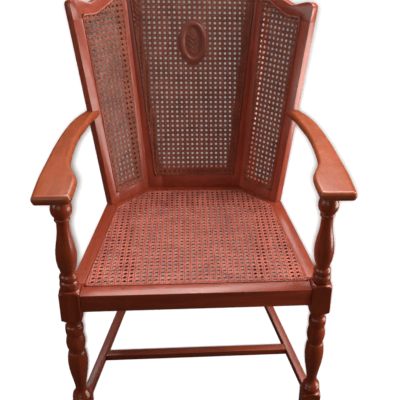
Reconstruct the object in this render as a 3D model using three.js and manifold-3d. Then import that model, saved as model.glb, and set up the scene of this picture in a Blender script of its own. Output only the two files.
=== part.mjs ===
// A planters chair with a caned seat, a reclined caned back and two caned wings.
// Millimetres, +Z up. The origin is on the floor, under the middle of the chair.
// The front of the chair looks along -Y and the sitter's left hand is at +X.
import * as THREE from "three";
import { mergeVertices } from "three/addons/utils/BufferGeometryUtils.js";
import Module from "manifold-3d";

const wasm = await Module();
wasm.setup();

const degrees = THREE.MathUtils.degToRad;

// Seat frame
const seatHeight = 410;
const seatDepth = 471;
const railHeight = 39;
const frontRailWidth = 44;
const sideRailWidth = 41;
const sideRailInset = 11.6;
const sideTaper = degrees(6.2);
const backRailLip = 35;
const backRailRear = 24;
const cornerLip = 29;

// Front legs, each turned in one piece up to the arm
const legSpread = 505.8;
const legSquare = 40.5;
const legChamfer = 2.5;
const blockProud = 2;
const seatBlockRise = 9.5;
const seatBlockDrop = 64;
const footHeight = 58;
const lowerBlockHeight = 67;
const pommel = 7;

// Rear legs
const rearLegSquare = 38;
const rearLegToe = 30;
const rearLegRake = 34;

// Stretchers
const stretcherRise = 95.5;
const stretcherHeight = 17.5;
const sideStretcherWidth = 18;
const sideStretcherSlant = degrees(9.6);
const crossStretcherSetBack = 163;
const crossStretcherWidth = 20;
const crossStretcherHeight = 15.5;

// Back and wings
const backWidth = 239.6;
const recline = degrees(8.14);
const cornerSplay = degrees(4.77);
const wingAngle = degrees(48.36);
const boardThickness = 20;
const backHeight = 480;
const backStileWidth = 37;
const backStileTaper = degrees(1.3);
const backRailHeight = 50;
const crestArch = 15;
const crestHeight = 45;
const crownRise = 40;
const wingFootWidth = 129;
const wingFlare = degrees(1.59);
const wingRailHeight = 34;
const innerStileWidth = 27;
const innerStileTaper = degrees(0.69);
const outerStileWidth = 28.8;
const outerStileFlare = degrees(0.81);
const wingTopFall = 40.6;
const wingCaneFall = 28;

// Cane panels and the splines pressed into grooves round them
const caneThickness = 1.6;
const seatCanePitch = 26.6;
const backCanePitch = 24.6;
const wingCanePitch = 25.7;
const caneStrand = 9;
const caneMargin = 2;
const splineWidth = 5;
const splineProud = 1.6;
const grooveDepth = 4;
const seatSplineInset = 12;
const backSplineInset = 18;
const wingSplineInset = 9;

// Oval medallion on the middle of the back
const medallionWidth = 72;
const medallionLength = 112;
const medallionRiseShare = 0.7885;
const medallionThickness = 5;
const backingThickness = 3;
const backingShare = 0.72;

// Arms
const armRise = 240;
const armThickness = 19;
const armWidth = 68;
const armOverhang = 54.3;
const armLap = 20;
const armRounding = 5;
const armOuterCorner = 8;
const armInnerCorner = 14;

// Clearance between pieces, the overrun of cuts and the welding of vertices
const clearance = 0.3;
const overrun = 6;
const weld = 1e-4;

const turningSides = 16;
const outlineSteps = 12;
const stileSteps = 3;
const roundingSteps = 2;
const cornerSteps = 4;

// Turned outlines: share of the section's height from its foot, then diameter as a share of the leg's square.
const footShares = [
  [0, 0.66], [0.09, 0.76], [0.26, 0.86], [0.45, 0.94], [0.62, 0.94], [0.76, 0.85],
  [0.82, 0.82], [0.86, 0.93], [0.93, 0.94], [1, 0.84],
];
const lowerTurningShares = [
  [0, 0.84], [0.012, 0.91], [0.028, 0.975], [0.052, 0.95], [0.064, 0.85], [0.075, 0.91],
  [0.095, 0.765], [0.125, 0.59], [0.155, 0.555], [0.21, 0.617], [0.28, 0.74], [0.36, 0.89],
  [0.44, 0.983], [0.49, 1], [0.55, 0.958], [0.6, 0.865], [0.612, 0.778], [0.64, 0.79],
  [0.67, 0.9], [0.724, 0.963], [0.785, 0.864], [0.82, 0.765], [0.835, 0.877], [0.875, 0.9],
  [0.91, 0.875], [0.925, 0.74], [0.96, 0.667], [1, 0.69],
];
const armPostShares = [
  [0, 0.74], [0.022, 0.89], [0.05, 0.938], [0.079, 0.89], [0.091, 0.778], [0.103, 0.877],
  [0.13, 0.9], [0.149, 0.84], [0.165, 0.728], [0.187, 0.704], [0.212, 0.765], [0.252, 0.9],
  [0.305, 0.975], [0.362, 0.993], [0.42, 0.95], [0.492, 0.827], [0.563, 0.69], [0.626, 0.612],
  [0.69, 0.588], [0.716, 0.617], [0.73, 0.73], [0.745, 0.73], [0.757, 0.68], [0.778, 0.8],
  [0.8, 0.94], [0.838, 1.01], [0.876, 0.95], [0.914, 0.765], [0.935, 0.617], [0.948, 0.63],
  [0.957, 0.74], [0.985, 0.74], [1, 0.667],
];

// Wing top from the corner outwards: share of the width, then share of the fall.
const wingTopShares = [
  [0, 0], [0.098, 0.165], [0.216, 0.374], [0.334, 0.571], [0.4225, 0.719], [0.487, 0.813],
  [0.57, 0.934], [0.6435, 1], [0.711, 0.929], [0.794, 0.793], [0.86, 0.7], [0.905, 0.665],
  [0.945, 0.68], [0.975, 0.735], [0.993, 0.83], [1, 0.96],
];
const wingCaneShares = [
  [0, 0], [0.216, 0.143], [0.34, 0.43], [0.464, 0.75], [0.564, 0.98], [0.629, 1],
  [0.735, 0.964], [0.835, 0.93], [1, 0.91],
];

// Crest top from the middle to the corner: share of the half width, then share of the crown's rise.
const crestShares = [
  [0, 1], [0.15, 0.985], [0.3, 0.93], [0.45, 0.82], [0.6, 0.64], [0.75, 0.41],
  [0.88, 0.18], [1, 0],
];

// Arm plan from the front end to the wing: share of the length, then distance from the arm's
// centre line to its outer and inner edge as shares of the arm's width.
const armOuterShares = [
  [0, 0.585], [0.19, 0.635], [0.36, 0.62], [0.53, 0.6], [0.69, 0.535],
  [0.825, 0.43], [0.93, 0.25], [1, 0.075],
];
const armInnerShares = [
  [0, 0.45], [0.115, 0.46], [0.18, 0.43], [0.234, 0.31], [0.306, 0.14], [0.363, 0.075],
  [0.475, 0.03], [0.577, 0.015], [0.69, 0.04], [0.8, 0.13], [0.9, 0.22],
];

// Medallion section: share of the half width from the middle, then share of the thickness.
const medallionShares = [
  [0, 0.78], [0.2, 0.74], [0.36, 0.56], [0.45, 0.4], [0.5, 0.45], [0.54, 0.85],
  [0.62, 1], [0.76, 0.94], [0.82, 0.7], [0.88, 0.66], [0.96, 0.5], [1, 0.3], [1, 0],
];

// Rear leg seen from the side: share of the drop below the seat frame, then share of the rake.
const rakeShares = [
  [0, 0], [0.15, 0.03], [0.3, 0.11], [0.45, 0.24], [0.6, 0.41], [0.8, 0.69], [1, 1],
];

// Geometry of the corner where back and wing meet
const up = new THREE.Vector3(0, 0, 1);
const cornerLine = new THREE.Vector3(Math.tan(cornerSplay), Math.tan(recline), 1);
const wingAcross = new THREE.Vector3(Math.cos(wingAngle), -Math.sin(wingAngle), 0);
const wingFacing = new THREE.Vector3().crossVectors(wingAcross, cornerLine).normalize();
const wingUp = new THREE.Vector3().crossVectors(wingFacing, wingAcross);
const backFacing = new THREE.Vector3(0, -Math.cos(recline), Math.sin(recline));
const wingTilt = Math.asin(wingFacing.z);
const foldHalf = wingFacing.angleTo(backFacing) / 2;
const backCornerSlope = Math.tan(cornerSplay) * Math.cos(recline);
const wingCornerSlope = cornerLine.dot(wingAcross) / cornerLine.dot(wingUp);
const mitre = boardThickness * Math.tan(foldHalf);

// Places that several pieces share
const halfBack = backWidth / 2;
const medallionHeight = backHeight * medallionRiseShare;
const seatRear = seatDepth + backRailRear;
const legAxisX = legSpread / 2;
const legAxisY = legSquare / 2 - blockProud;
const blockRear = legSquare - blockProud;
const blockInner = legAxisX - legSquare / 2;
const blockOuter = legAxisX + legSquare / 2;
const railUnder = seatHeight - railHeight;
const armUnder = seatHeight + armRise - armThickness;
const lowerBlockTop = footHeight + lowerBlockHeight;
const stretcherUnder = stretcherRise;

const sideOuter = (y) => blockOuter - sideRailInset - y * Math.tan(sideTaper);
const sideInner = (y) => sideOuter(y) - sideRailWidth;
const rearLegOuter = sideOuter(seatRear - rearLegSquare / 2);
const rearLegInner = rearLegOuter - rearLegSquare;
const rearLegFront = seatRear - rearLegSquare;

const backCorner = (v) => halfBack + backCornerSlope * v;
const backStile = (v) => backStileWidth - v * Math.tan(backStileTaper);
const backOpen = (v) => backCorner(v) - backStile(v);
const wingCorner = (v) => wingCornerSlope * v;
const wingEdge = (v) => wingFootWidth + v * Math.tan(wingFlare);
const wingInner = (v) => wingCorner(v) + innerStileWidth - v * Math.tan(innerStileTaper);
const wingOuter = (v) => wingEdge(v) - outerStileWidth - v * Math.tan(outerStileFlare);
const wingJoint = (backHeight * Math.cos(recline)) / Math.cos(wingTilt);
const wingShoulder = ((backHeight + crestHeight) * Math.cos(recline)) / Math.cos(wingTilt);

// Reads a table of shares, straight between its rows.
function readShare(shares, at) {
  for (let i = 1; i < shares.length; i += 1) {
    const [a, from] = shares[i - 1];
    const [b, to] = shares[i];
    if (at <= b) {
      return from + ((to - from) * (at - a)) / (b - a);
    }
  }
  return shares[shares.length - 1][1];
}

const crestUnder = (x) => backHeight + crestArch * (1 - (x / backCorner(backHeight)) ** 2);
const wingSpan = (u) => (u - wingCorner(wingJoint)) / (wingEdge(wingJoint) - wingCorner(wingJoint));
const wingTopUnder = (u) => wingJoint - wingCaneFall * readShare(wingCaneShares, wingSpan(u));

// Solids
function solid(geometry) {
  const bare = geometry.index ? geometry.toNonIndexed() : geometry.clone();
  bare.deleteAttribute("normal");
  bare.deleteAttribute("uv");
  const merged = mergeVertices(bare, weld);
  return new wasm.Manifold(
    new wasm.Mesh({
      numProp: 3,
      vertProperties: merged.attributes.position.array,
      triVerts: new Uint32Array(merged.index.array),
    }),
  );
}

function surface(body) {
  const made = body.getMesh();
  const geometry = new THREE.BufferGeometry();
  geometry.setAttribute("position", new THREE.BufferAttribute(new Float32Array(made.vertProperties), 3));
  geometry.setIndex(new THREE.BufferAttribute(new Uint32Array(made.triVerts), 1));
  const faceted = geometry.toNonIndexed();
  faceted.computeVertexNormals();
  return faceted;
}

function named(name, material, geometry) {
  const mesh = new THREE.Mesh(geometry, material);
  mesh.name = name;
  return mesh;
}

const point = (x, y) => new THREE.Vector2(x, y);
const mirrored = (points, side) => points.map((p) => point(p.x * side, p.y));
const bothSides = (points) => [...points, ...mirrored(points, -1).reverse()];

// Moves each edge of a closed outline outwards, or inwards where the distance is negative.
function offset(points, distance) {
  const outline = THREE.ShapeUtils.isClockWise(points) ? [...points].reverse() : points;
  const count = outline.length;
  return outline.map((p, i) => {
    const before = outline[(i + count - 1) % count];
    const after = outline[(i + 1) % count];
    const a = point(p.y - before.y, before.x - p.x).normalize();
    const b = point(after.y - p.y, p.x - after.x).normalize();
    return point(a.x + b.x, a.y + b.y).multiplyScalar(distance / (1 + a.dot(b))).add(p);
  });
}

// A flat plate with its outline in X and Y, from one height up to another.
function plate(outline, from, to, holes = []) {
  const shape = new THREE.Shape(outline);
  shape.holes = holes.map((hole) => new THREE.Path(hole));
  const geometry = new THREE.ExtrudeGeometry(shape, { depth: to - from, bevelEnabled: false });
  return geometry.translate(0, 0, from);
}

// A board whose front outline lies at z 0 and whose back outline, with as many points, lies behind it.
function board(front, back) {
  const turned = THREE.ShapeUtils.isClockWise(front);
  const near = turned ? [...front].reverse() : front;
  const far = turned ? [...back].reverse() : back;
  const count = near.length;
  const places = [];
  const add = (p, z) => places.push(p.x, p.y, z);
  const corner = { near: (i) => add(near[i], 0), far: (i) => add(far[i], -boardThickness) };
  for (const [a, b, c] of THREE.ShapeUtils.triangulateShape(near, [])) {
    [a, b, c].forEach(corner.near);
    [c, b, a].forEach(corner.far);
  }
  for (let i = 0; i < count; i += 1) {
    const j = (i + 1) % count;
    corner.near(i);
    corner.far(i);
    corner.far(j);
    corner.near(i);
    corner.far(j);
    corner.near(j);
  }
  const geometry = new THREE.BufferGeometry();
  geometry.setAttribute("position", new THREE.Float32BufferAttribute(places, 3));
  return geometry;
}

// The ring-shaped cut for a spline, round an opening of the given outline.
function groove(opening, inset) {
  const outer = offset(opening, inset + clearance);
  const inner = offset(opening, inset - splineWidth - clearance);
  return solid(plate(outer, -grooveDepth, overrun, [inner]));
}

function spline(name, opening, inset) {
  const outer = offset(opening, inset);
  const inner = offset(opening, inset - splineWidth);
  const from = clearance - grooveDepth;
  return named(name, splineWood(), plate(outer, from, splineProud, [inner]));
}

// A woven panel as a thin plate with square gaps on a grid about the panel's middle line.
function cane(name, opening, inset, pitch) {
  const outline = offset(opening, inset - splineWidth - clearance);
  const inside = offset(opening, -caneMargin);
  const gap = pitch - caneStrand;
  const box = new THREE.Box2().setFromPoints(inside);
  const middle = box.getCenter(point(0, 0));
  const columns = Math.floor((box.max.x - box.min.x) / pitch);
  const rows = Math.floor((box.max.y - box.min.y) / pitch);
  const top = clearance + caneThickness;
  const gaps = [];
  for (let i = 0; i < columns; i += 1) {
    for (let j = 0; j < rows; j += 1) {
      const x = middle.x + (i - (columns - 1) / 2) * pitch;
      const y = middle.y + (j - (rows - 1) / 2) * pitch;
      const corners = [-gap / 2, gap / 2].flatMap((a) => [-gap / 2, gap / 2].map((b) => point(x + a, y + b)));
      if (corners.every((p) => within(inside, p))) {
        gaps.push(solid(new THREE.BoxGeometry(gap, gap, overrun).translate(x, y, top)));
      }
    }
  }
  const body = solid(plate(outline, clearance, top));
  return named(name, caneStrands(), surface(gaps.reduce((rest, cut) => rest.subtract(cut), body)));
}

function within(outline, p) {
  let inside = false;
  outline.forEach((a, i) => {
    const b = outline[(i + 1) % outline.length];
    if (a.y > p.y !== b.y > p.y && p.x < a.x + ((b.x - a.x) * (p.y - a.y)) / (b.y - a.y)) {
      inside = !inside;
    }
  });
  return inside;
}

// Where two lines in the plan cross, each given by a point and a direction.
function meet(p, d, q, e) {
  const across = d.x * e.y - d.y * e.x;
  const along = ((q.x - p.x) * e.y - (q.y - p.y) * e.x) / across;
  return point(p.x + d.x * along, p.y + d.y * along);
}

// Materials
function mahogany(color) {
  return new THREE.MeshStandardMaterial({ color, roughness: 0.28, metalness: 0 });
}

function frameWood() {
  return mahogany(0x7a2c1a);
}

function backWood() {
  return mahogany(0x843220);
}

function armWood() {
  return mahogany(0x9a4626);
}

function turnedWood() {
  return mahogany(0x5c2014);
}

function splineWood() {
  return mahogany(0x9c5245);
}

function carvedWood() {
  return mahogany(0x70352c);
}

function caneStrands() {
  return new THREE.MeshStandardMaterial({ color: 0xa85f50, roughness: 0.5, metalness: 0 });
}

// Seat frame
const wingFoot = point(halfBack, seatDepth);
const wingRun = point(wingAcross.x, wingAcross.y);
const wingFootInner = point(
  wingFoot.x - cornerLip * Math.sin(wingAngle),
  wingFoot.y - cornerLip * Math.cos(wingAngle),
);
const sideRun = point(-Math.tan(sideTaper), 1);
const openRear = seatDepth - backRailLip;
const openCorner = meet(wingFootInner, wingRun, point(0, openRear), point(1, 0));
const openSide = meet(wingFootInner, wingRun, point(sideInner(0), 0), sideRun);

function seatOpening() {
  const right = [point(sideInner(frontRailWidth), frontRailWidth), openSide, openCorner];
  return bothSides(right);
}

function seatPiece(name, outline) {
  const cut = groove(seatOpening(), seatSplineInset);
  const geometry = surface(solid(plate(outline, -railHeight, 0)).subtract(cut));
  return named(name, frameWood(), geometry);
}

function seatFrontRail() {
  const end = blockInner - clearance;
  const outline = [point(-end, 0), point(end, 0), point(end, frontRailWidth), point(-end, frontRailWidth)];
  return seatPiece("seat_front_rail", outline);
}

function seatSideRail(name, side) {
  const front = frontRailWidth + clearance;
  const shoulder = blockRear + clearance;
  const rear = rearLegFront - clearance;
  const outline = [
    point(sideInner(front), front), point(blockInner, front), point(blockInner, shoulder),
    point(sideOuter(shoulder), shoulder), point(sideOuter(rear), rear), point(sideInner(rear), rear),
  ];
  return seatPiece(name, mirrored(outline, side));
}

function seatBackRail() {
  const shoulder = rearLegFront - clearance;
  const right = [
    point(sideInner(openRear) - clearance, openRear), point(sideInner(shoulder) - clearance, shoulder),
    point(rearLegInner - clearance, shoulder), point(rearLegInner - clearance, seatRear),
  ];
  return seatPiece("seat_back_rail", bothSides(right));
}

// The gusset in the rear corner of the seat frame, which carries the foot of the wing.
function seatGusset(name, side) {
  const front = openRear - clearance;
  const railSide = point(sideInner(0) - clearance, 0);
  const outline = [
    meet(wingFootInner, wingRun, railSide, sideRun),
    meet(railSide, sideRun, point(0, front), point(1, 0)),
    meet(wingFootInner, wingRun, point(0, front), point(1, 0)),
  ];
  return seatPiece(name, mirrored(outline, side));
}

// Legs
function turning(shares, foot, top) {
  const profile = shares.map(([along, wide]) => point((wide * legSquare) / 2, foot + along * (top - foot)));
  profile.unshift(point(0, foot));
  profile.push(point(0, top));
  return solid(new THREE.LatheGeometry(profile, turningSides).rotateX(Math.PI / 2));
}

// A square block whose ends are turned down to the round sections that meet it.
function squareBlock(foot, top) {
  const half = legSquare / 2;
  const cut = half - legChamfer;
  const outline = [
    point(half, -cut), point(half, cut), point(cut, half), point(-cut, half),
    point(-half, cut), point(-half, -cut), point(-cut, -half), point(cut, -half),
  ];
  const wide = half * Math.SQRT2;
  const narrow = half * readShare(lowerTurningShares, 0);
  const profile = [
    point(0, foot), point(narrow, foot), point((wide + narrow) / 2, foot + pommel / 3),
    point(wide, foot + pommel), point(wide, top - pommel), point((wide + narrow) / 2, top - pommel / 3),
    point(narrow, top), point(0, top),
  ];
  const round = solid(new THREE.LatheGeometry(profile, turningSides).rotateX(Math.PI / 2));
  return solid(plate(outline, foot, top)).intersect(round);
}

function frontLeg(name, side) {
  const seatBlockFoot = seatHeight - seatBlockDrop;
  const seatBlockTop = seatHeight + seatBlockRise;
  const body = turning(footShares, 0, footHeight)
    .add(squareBlock(footHeight, lowerBlockTop))
    .add(turning(lowerTurningShares, lowerBlockTop, seatBlockFoot))
    .add(squareBlock(seatBlockFoot, seatBlockTop))
    .add(turning(armPostShares, seatBlockTop, armUnder - clearance));
  const leg = named(name, turnedWood(), surface(body));
  leg.position.set(side * legAxisX, legAxisY, 0);
  return leg;
}

function rearLeg(name, side) {
  const shift = (along) => rearLegRake * readShare(rakeShares, along);
  const slim = (along) => rearLegSquare + (rearLegToe - rearLegSquare) * along;
  const levels = rakeShares.map(([along]) => along);
  const front = levels.map((along) => point(rearLegFront + shift(along), railUnder * (1 - along)));
  const rear = levels.map((along) => point(rearLegFront + shift(along) + slim(along), railUnder * (1 - along)));
  const outline = [point(seatRear, seatHeight), point(rearLegFront, seatHeight), ...front, ...rear.reverse()];
  const geometry = plate(outline, 0, rearLegSquare).rotateX(Math.PI / 2).rotateZ(Math.PI / 2);
  const leg = named(name, turnedWood(), geometry);
  leg.position.set(side > 0 ? rearLegInner : -rearLegOuter, 0, 0);
  return leg;
}

// The front face of a rear leg at a height below the seat frame.
function rearLegFaceAt(height) {
  return rearLegFront + rearLegRake * readShare(rakeShares, 1 - height / railUnder);
}

// Stretchers
const stretcherLine = (y) => legAxisX - (y - legAxisY) * Math.tan(sideStretcherSlant);

function sideStretcher(name, side) {
  const front = blockRear + clearance;
  const rear = rearLegFaceAt(stretcherUnder + stretcherHeight) - clearance;
  const half = sideStretcherWidth / 2;
  const outline = [
    point(stretcherLine(front) - half, front), point(stretcherLine(front) + half, front),
    point(stretcherLine(rear) + half, rear), point(stretcherLine(rear) - half, rear),
  ];
  const top = stretcherUnder + stretcherHeight;
  return named(name, turnedWood(), plate(mirrored(outline, side), stretcherUnder, top));
}

function crossStretcher() {
  const front = crossStretcherSetBack;
  const rear = front + crossStretcherWidth;
  const end = (y) => stretcherLine(y) - sideStretcherWidth / 2 - clearance;
  const right = [point(end(front), front), point(end(rear), rear)];
  const top = stretcherUnder + stretcherHeight;
  return named("cross_stretcher", turnedWood(), plate(bothSides(right), top - crossStretcherHeight, top));
}

// Back
const joint = clearance / 2;
const backFootRise = boardThickness * Math.tan(recline);

function steps(from, to, count) {
  return Array.from({ length: count + 1 }, (_, i) => from + ((to - from) * i) / count);
}

// Carries the last point of a run on along its last edge, by a distance in X.
function carriedOn(points, shift) {
  const [a, b] = points.slice(-2);
  const last = point(b.x + shift, b.y + ((b.y - a.y) / (b.x - a.x)) * shift);
  return [...points.slice(0, -1), last];
}

function backOpening() {
  const reach = backOpen(backHeight);
  const top = steps(reach, -reach, outlineSteps).map((x) => point(x, crestUnder(x)));
  const foot = backOpen(backRailHeight);
  return [point(-foot, backRailHeight), point(foot, backRailHeight), ...top];
}

function backPiece(name, front, back) {
  const cut = groove(backOpening(), backSplineInset);
  return named(name, backWood(), surface(solid(board(front, back)).subtract(cut)));
}

function backStileOutline(foot, shift) {
  const outer = backCorner(backHeight) - joint;
  const tops = steps(backOpen(backHeight), outer, stileSteps).map((x) => point(x, crestUnder(x) - clearance));
  return [
    point(backOpen(foot), foot), ...carriedOn(tops, shift), point(backCorner(foot) - joint + shift, foot),
  ];
}

function backStilePiece(name, side) {
  const front = backStileOutline(clearance, 0);
  const far = backStileOutline(clearance + backFootRise, mitre);
  return backPiece(name, mirrored(front, side), mirrored(far, side));
}

function backBottomRail() {
  const outline = (foot) => {
    const right = [foot, backRailHeight].map((v) => point(backOpen(v) - clearance, v));
    return bothSides(right);
  };
  return backPiece("back_bottom_rail", outline(clearance), outline(clearance + backFootRise));
}

function backCrest() {
  const shoulder = backHeight + crestHeight;
  const reach = backCorner(shoulder) - joint;
  const end = backCorner(backHeight) - joint;
  const open = backOpen(backHeight);
  const outline = (shift) => {
    const top = crestShares.slice(1).map(([along, rise]) => point(along * reach, shoulder + rise * crownRise));
    const places = [...steps(0, open, outlineSteps / 2).slice(1), ...steps(open, end, stileSteps).slice(1)];
    const under = places.map((x) => point(x, crestUnder(x)));
    const right = [...carriedOn(top, shift), ...carriedOn(under, shift).reverse()];
    const crown = point(0, shoulder + crownRise);
    return [crown, ...right, point(0, crestUnder(0)), ...mirrored(right, -1).reverse()];
  };
  return backPiece("back_crest_rail", outline(0), outline(mitre));
}

function medallion() {
  const profile = medallionShares.map(([along, rise]) => point(along, rise));
  profile.push(point(0, 0));
  const geometry = new THREE.LatheGeometry(profile.reverse(), turningSides * 2);
  geometry.rotateX(Math.PI / 2);
  geometry.scale(medallionWidth / 2, medallionLength / 2, medallionThickness);
  const mesh = named("medallion", carvedWood(), surface(solid(geometry)));
  mesh.position.set(0, medallionHeight, clearance + caneThickness + clearance);
  return mesh;
}

function medallionBacking() {
  const geometry = new THREE.CylinderGeometry(1, 1, 1, turningSides * 2).rotateX(Math.PI / 2);
  const wide = (medallionWidth * backingShare) / 2;
  const long = (medallionLength * backingShare) / 2;
  geometry.scale(wide, long, backingThickness);
  const mesh = named("medallion_backing", carvedWood(), geometry);
  mesh.position.set(0, medallionHeight, -backingThickness / 2);
  return mesh;
}

function back() {
  const group = new THREE.Group();
  group.position.set(0, seatDepth, seatHeight);
  group.rotation.set(Math.PI / 2 - recline, 0, 0);
  group.add(backStilePiece("back_stile_left", -1), backStilePiece("back_stile_right", 1));
  group.add(backBottomRail(), backCrest());
  group.add(cane("back_cane", backOpening(), backSplineInset, backCanePitch));
  group.add(spline("back_spline", backOpening(), backSplineInset));
  group.add(medallion(), medallionBacking());
  return group;
}

// Wings
const wingFootRise = boardThickness * Math.tan(wingTilt);

function wingOpening() {
  const inner = wingInner(wingJoint);
  const outer = wingOuter(wingJoint);
  const top = steps(outer, inner, outlineSteps).map((u) => point(u, wingTopUnder(u)));
  return [
    point(wingInner(wingRailHeight), wingRailHeight), point(wingOuter(wingRailHeight), wingRailHeight), ...top,
  ];
}

function wingPiece(name, side, front, back) {
  const cut = groove(mirrored(wingOpening(), side), wingSplineInset);
  const body = solid(board(mirrored(front, side), mirrored(back, side)));
  return named(name, backWood(), surface(body.subtract(cut)));
}

function outerStileOutline(foot) {
  const places = steps(wingEdge(wingJoint), wingOuter(wingJoint), stileSteps);
  const tops = places.map((u) => point(u, wingTopUnder(u) - clearance));
  return [point(wingEdge(foot), foot), ...tops, point(wingOuter(foot), foot)];
}

function wingOuterStile(name, side) {
  return wingPiece(name, side, outerStileOutline(clearance), outerStileOutline(clearance + wingFootRise));
}

function innerStileOutline(foot, shift) {
  const corner = wingCorner(wingJoint) + joint;
  const places = steps(wingInner(wingJoint), corner, stileSteps);
  const tops = places.map((u) => point(u, wingTopUnder(u) - clearance));
  return [
    point(wingInner(foot), foot), ...carriedOn(tops, -shift), point(wingCorner(foot) + joint - shift, foot),
  ];
}

function wingInnerStile(name, side) {
  return wingPiece(name, side, innerStileOutline(clearance, 0), innerStileOutline(clearance + wingFootRise, mitre));
}

function wingBottomRail(name, side) {
  const outline = (foot) => [
    point(wingInner(foot) + clearance, foot), point(wingOuter(foot) - clearance, foot),
    point(wingOuter(wingRailHeight) - clearance, wingRailHeight),
    point(wingInner(wingRailHeight) + clearance, wingRailHeight),
  ];
  return wingPiece(name, side, outline(clearance), outline(clearance + wingFootRise));
}

function wingTopRail(name, side) {
  const inner = wingCorner(wingShoulder) + joint;
  const outer = wingEdge(wingShoulder);
  const outline = (shift) => {
    const top = wingTopShares.map(([along, fall]) => {
      return point(inner + along * (outer - inner), wingShoulder - fall * wingTopFall);
    });
    const places = [
      ...steps(wingEdge(wingJoint), wingOuter(wingJoint), stileSteps),
      ...steps(wingOuter(wingJoint), wingInner(wingJoint), outlineSteps).slice(1),
      ...steps(wingInner(wingJoint), wingCorner(wingJoint) + joint, stileSteps).slice(1),
    ];
    const under = places.map((u) => point(u, wingTopUnder(u)));
    return [...carriedOn(top.reverse(), -shift).reverse(), ...carriedOn(under, -shift)];
  };
  return wingPiece(name, side, outline(0), outline(mitre));
}

function wing(hand, side) {
  const group = new THREE.Group();
  group.position.set(side * halfBack, seatDepth, seatHeight);
  group.rotation.set(Math.PI / 2 - wingTilt, 0, -side * wingAngle, "ZXY");
  const opening = mirrored(wingOpening(), side);
  group.add(wingOuterStile("wing_outer_stile_" + hand, side));
  group.add(wingInnerStile("wing_inner_stile_" + hand, side));
  group.add(wingBottomRail("wing_bottom_rail_" + hand, side));
  group.add(wingTopRail("wing_top_rail_" + hand, side));
  group.add(cane("wing_cane_" + hand, opening, wingSplineInset, wingCanePitch));
  group.add(spline("wing_spline_" + hand, opening, wingSplineInset));
  return group;
}

// Arms
// A place on the front face of the right wing at a height over the seat.
function wingFace(u, height) {
  const v = height / wingUp.z;
  return point(halfBack + wingAcross.x * u + wingUp.x * v, seatDepth + wingAcross.y * u + wingUp.y * v);
}

// Rounds the corner at a point of an outline, from a distance before it to as far behind it.
function bend(before, at, after, reach) {
  const from = before.clone().sub(at).setLength(reach).add(at);
  const to = after.clone().sub(at).setLength(reach).add(at);
  return new THREE.QuadraticBezierCurve(from, at, to).getPoints(cornerSteps);
}

function armPlan() {
  const middle = armRise - armThickness / 2;
  const edge = wingEdge(middle / wingUp.z);
  const face = wingFace(edge, middle);
  const behind = boardThickness - clearance;
  const heel = point(face.x - wingFacing.x * behind, face.y - wingFacing.y * behind);
  const lap = wingFace(edge - armLap, middle);
  const front = legAxisY - armOverhang;
  const axis = (y) => legAxisX + ((heel.x - legAxisX) * (y - legAxisY)) / (heel.y - legAxisY);
  const edgePoint = (sign) => ([along, wide]) => {
    const y = front + along * (heel.y - front);
    return point(axis(y) + sign * wide * armWidth, y);
  };
  const outer = new THREE.SplineCurve(armOuterShares.map(edgePoint(1))).getPoints(outlineSteps);
  const innerRow = [...armInnerShares.map(edgePoint(-1)), lap];
  const inner = new THREE.SplineCurve(innerRow).getPoints(outlineSteps + outlineSteps / 2);
  const tail = point(lap.x - wingFacing.x * (behind / 2), lap.y - wingFacing.y * (behind / 2));
  const run = [...inner.reverse(), ...outer, tail];
  const innerCorner = inner.length - 1;
  const outerCorner = innerCorner + 1;
  return [
    ...run.slice(0, innerCorner),
    ...bend(run[innerCorner - 1], run[innerCorner], run[outerCorner], armInnerCorner),
    ...bend(run[innerCorner], run[outerCorner], run[outerCorner + 1], armOuterCorner),
    ...run.slice(outerCorner + 1),
  ];
}

// The outer stile of the wing with its clearance, where the arm is notched to fit round it.
function stileNotch(side) {
  const grown = offset(outerStileOutline(clearance), clearance);
  const geometry = plate(mirrored(grown, side), -boardThickness - clearance, clearance);
  geometry.rotateX(Math.PI / 2 - wingTilt).rotateZ(-side * wingAngle);
  return solid(geometry.translate(side * halfBack, seatDepth, seatHeight - armUnder));
}

function arm(name, side) {
  const shape = new THREE.Shape(mirrored(armPlan(), side));
  const geometry = new THREE.ExtrudeGeometry(shape, {
    depth: armThickness - armRounding * 2,
    bevelThickness: armRounding,
    bevelSize: armRounding,
    bevelOffset: -armRounding,
    bevelSegments: roundingSteps,
  });
  geometry.translate(0, 0, armRounding);
  const mesh = named(name, armWood(), surface(solid(geometry).subtract(stileNotch(side))));
  mesh.position.set(0, 0, armUnder);
  return mesh;
}

// The seat, with its frame at seat height
function seat() {
  const group = new THREE.Group();
  group.position.set(0, 0, seatHeight);
  group.add(seatFrontRail(), seatBackRail());
  group.add(seatSideRail("seat_side_rail_left", -1), seatSideRail("seat_side_rail_right", 1));
  group.add(seatGusset("seat_gusset_left", -1), seatGusset("seat_gusset_right", 1));
  group.add(cane("seat_cane", seatOpening(), seatSplineInset, seatCanePitch));
  group.add(spline("seat_spline", seatOpening(), seatSplineInset));
  return group;
}

function legs() {
  const group = new THREE.Group();
  group.add(frontLeg("front_leg_left", -1), frontLeg("front_leg_right", 1));
  group.add(rearLeg("rear_leg_left", -1), rearLeg("rear_leg_right", 1));
  group.add(sideStretcher("side_stretcher_left", -1), sideStretcher("side_stretcher_right", 1));
  group.add(crossStretcher());
  return group;
}

const chair = new THREE.Group();
chair.add(seat(), legs(), back(), wing("left", -1), wing("right", 1));
chair.add(arm("arm_left", -1), arm("arm_right", 1));

// The origin lies under the middle of the chair's depth.
chair.updateMatrixWorld(true);
const depth = new THREE.Box3().setFromObject(chair, true);
chair.position.y = -(depth.min.y + depth.max.y) / 2;

const group = new THREE.Group();
group.name = "planters_chair";
group.add(chair);

export default group;
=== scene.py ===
"""A planters chair with a caned seat, back and wings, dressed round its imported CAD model.

Sizes are in millimetres, as in the CAD model, and become metres where a mesh is made.
"""

import math
import random

import bpy
from mathutils import Euler, Matrix, Vector

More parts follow.
